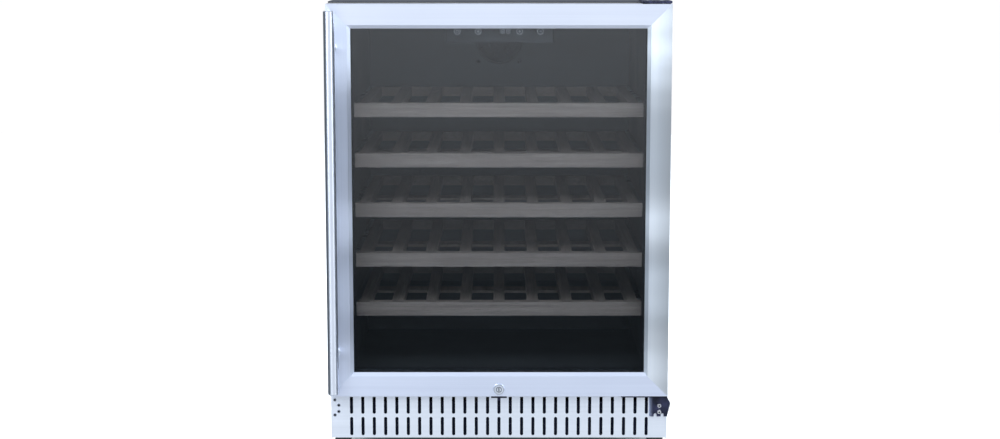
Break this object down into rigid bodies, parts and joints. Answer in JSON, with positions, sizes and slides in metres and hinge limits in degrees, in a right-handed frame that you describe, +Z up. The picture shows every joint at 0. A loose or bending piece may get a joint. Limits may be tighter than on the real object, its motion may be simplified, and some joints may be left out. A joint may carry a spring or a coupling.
{
  "type": "wine cooler",
  "caption": "Under-counter wine cooler: stainless framed glass door with bar handle, sliding wooden racks, fan cooling, slotted kick plate, levelling feet.",
  "frame": {"origin": "on the floor under the middle of the cooler's bounding box", "axes": "+Z up, the door faces -Y, +X to the right of someone facing the door"},
  "size_m": [0.6009, 0.617, 0.8218],
  "materials": {
    "case_paint": "satin",
    "base_paint": "satin",
    "galvanised_sheet": "satin",
    "rear_sheet": "satin",
    "foam": "matte",
    "liner_plastic": "satin",
    "coil_aluminium": "satin",
    "fan_plastic": "matte",
    "guard_wire": "satin",
    "bright_steel": "satin",
    "bracket_paint": "satin",
    "stainless": "satin",
    "lock_chrome": "polished",
    "frame_plastic": "satin",
    "bush_plastic": "satin",
    "gasket_rubber": "matte",
    "smoked_glass": "polished",
    "clear_glass": "polished",
    "spacer_aluminium": "satin",
    "filter_mesh": "matte",
    "slide_steel": "satin",
    "control_plastic": "satin",
    "display_acrylic": "gloss",
    "lamp_lens": "satin",
    "compressor_paint": "satin",
    "grommet_rubber": "matte",
    "condenser_paint": "matte",
    "inlet_plastic": "matte",
    "button_plastic": "satin",
    "foot_plastic": "matte",
    "rack_wood": "satin"
  },
  "bodies": {
    "cabinet": {"outer_case": "case_paint", "base_pan": "base_paint", "bulkhead": "galvanised_sheet", "rear_panel": "rear_sheet", "insulation_foam": "foam", "inner_liner": "liner_plastic", "evaporator_cover": "liner_plastic", "evaporator_coil": "coil_aluminium", "evaporator_fan_frame": "fan_plastic", "condenser_fan_frame": "fan_plastic", "fan_guard": "guard_wire", "screws": "bright_steel", "hinge_pins": "bright_steel", "upper_hinge_bracket": "bright_steel", "lower_hinge_bracket": "bracket_paint", "lock_keeper": "bracket_paint", "kick_plate": "stainless", "intake_filter": "filter_mesh", "slide_channels": "slide_steel", "control_housing": "control_plastic", "display_window": "display_acrylic", "ceiling_lamp": "lamp_lens", "compressor": "compressor_paint", "compressor_grommets": "grommet_rubber", "condenser": "condenser_paint", "power_inlet": "inlet_plastic"},
    "door": {"door_top_rail": "stainless", "door_bottom_rail": "stainless", "door_left_stile": "stainless", "door_right_stile": "stainless", "door_inner_frame": "frame_plastic", "outer_glass": "smoked_glass", "inner_glass": "clear_glass", "glass_spacer": "spacer_aluminium", "door_gasket": "gasket_rubber", "handle_bar": "stainless", "handle_posts": "stainless", "lock_housing": "lock_chrome", "hinge_bushes": "bush_plastic"},
    "lock_cylinder": {"lock_cylinder": "lock_chrome"},
    "shelf_1": {"shelf_1_rack": "rack_wood", "shelf_1_runners": "slide_steel"},
    "shelf_2": {"shelf_2_rack": "rack_wood", "shelf_2_runners": "slide_steel"},
    "shelf_3": {"shelf_3_rack": "rack_wood", "shelf_3_runners": "slide_steel"},
    "shelf_4": {"shelf_4_rack": "rack_wood", "shelf_4_runners": "slide_steel"},
    "shelf_5": {"shelf_5_rack": "rack_wood", "shelf_5_runners": "slide_steel"},
    "evaporator_fan_rotor": {"evaporator_fan_rotor": "fan_plastic"},
    "condenser_fan_rotor": {"condenser_fan_rotor": "fan_plastic"},
    "button_power": {"button_power": "button_plastic"},
    "button_light": {"button_light": "button_plastic"},
    "button_up": {"button_up": "button_plastic"},
    "button_down": {"button_down": "button_plastic"},
    "foot_front_left": {"foot_front_left": "foot_plastic"},
    "foot_front_right": {"foot_front_right": "foot_plastic"},
    "foot_rear_left": {"foot_rear_left": "foot_plastic"},
    "foot_rear_right": {"foot_rear_right": "foot_plastic"}
  },
  "joints": [
    {"name": "door_hinge", "type": "hinge", "parent": "cabinet", "child": "door", "pos_m": [0.283, -0.2375, 0.4705], "axis": [0, 0, 1], "range_deg": [0, 110]},
    {"name": "lock_turn", "type": "hinge", "parent": "door", "child": "lock_cylinder", "pos_m": [0, -0.2625, 0.1385], "axis": [0, -1, 0], "range_deg": [0, 90]},
    {"name": "shelf_1_slide", "type": "slide", "parent": "cabinet", "child": "shelf_1", "axis": [0, -1, 0], "range_m": [0, 0.02]},
    {"name": "shelf_2_slide", "type": "slide", "parent": "cabinet", "child": "shelf_2", "axis": [0, -1, 0], "range_m": [0, 0.02]},
    {"name": "shelf_3_slide", "type": "slide", "parent": "cabinet", "child": "shelf_3", "axis": [0, -1, 0], "range_m": [0, 0.02]},
    {"name": "shelf_4_slide", "type": "slide", "parent": "cabinet", "child": "shelf_4", "axis": [0, -1, 0], "range_m": [0, 0.02]},
    {"name": "shelf_5_slide", "type": "slide", "parent": "cabinet", "child": "shelf_5", "axis": [0, -1, 0], "range_m": [0, 0.02]},
    {"name": "evaporator_fan_spin", "type": "hinge", "parent": "cabinet", "child": "evaporator_fan_rotor", "pos_m": [0, 0.2125, 0.726], "axis": [0, 1, 0], "continuous": true},
    {"name": "condenser_fan_spin", "type": "hinge", "parent": "cabinet", "child": "condenser_fan_rotor", "pos_m": [0.1, 0.203, 0.108], "axis": [0, 1, 0], "continuous": true},
    {"name": "button_power_press", "type": "slide", "parent": "cabinet", "child": "button_power", "axis": [0, 1, 0], "range_m": [0, 0.001], "stiffness_N_per_m": 400},
    {"name": "button_light_press", "type": "slide", "parent": "cabinet", "child": "button_light", "axis": [0, 1, 0], "range_m": [0, 0.001], "stiffness_N_per_m": 400},
    {"name": "button_up_press", "type": "slide", "parent": "cabinet", "child": "button_up", "axis": [0, 1, 0], "range_m": [0, 0.001], "stiffness_N_per_m": 400},
    {"name": "button_down_press", "type": "slide", "parent": "cabinet", "child": "button_down", "axis": [0, 1, 0], "range_m": [0, 0.001], "stiffness_N_per_m": 400},
    {"name": "foot_front_left_turn", "type": "hinge", "parent": "cabinet", "child": "foot_front_left", "pos_m": [-0.279, -0.222, 0.03], "axis": [0, 0, 1], "continuous": true},
    {"name": "foot_front_right_turn", "type": "hinge", "parent": "cabinet", "child": "foot_front_right", "pos_m": [0.279, -0.222, 0.03], "axis": [0, 0, 1], "continuous": true},
    {"name": "foot_rear_left_turn", "type": "hinge", "parent": "cabinet", "child": "foot_rear_left", "pos_m": [-0.279, 0.27, 0.03], "axis": [0, 0, 1], "continuous": true},
    {"name": "foot_rear_right_turn", "type": "hinge", "parent": "cabinet", "child": "foot_rear_right", "pos_m": [0.279, 0.27, 0.03], "axis": [0, 0, 1], "continuous": true}
  ]
}
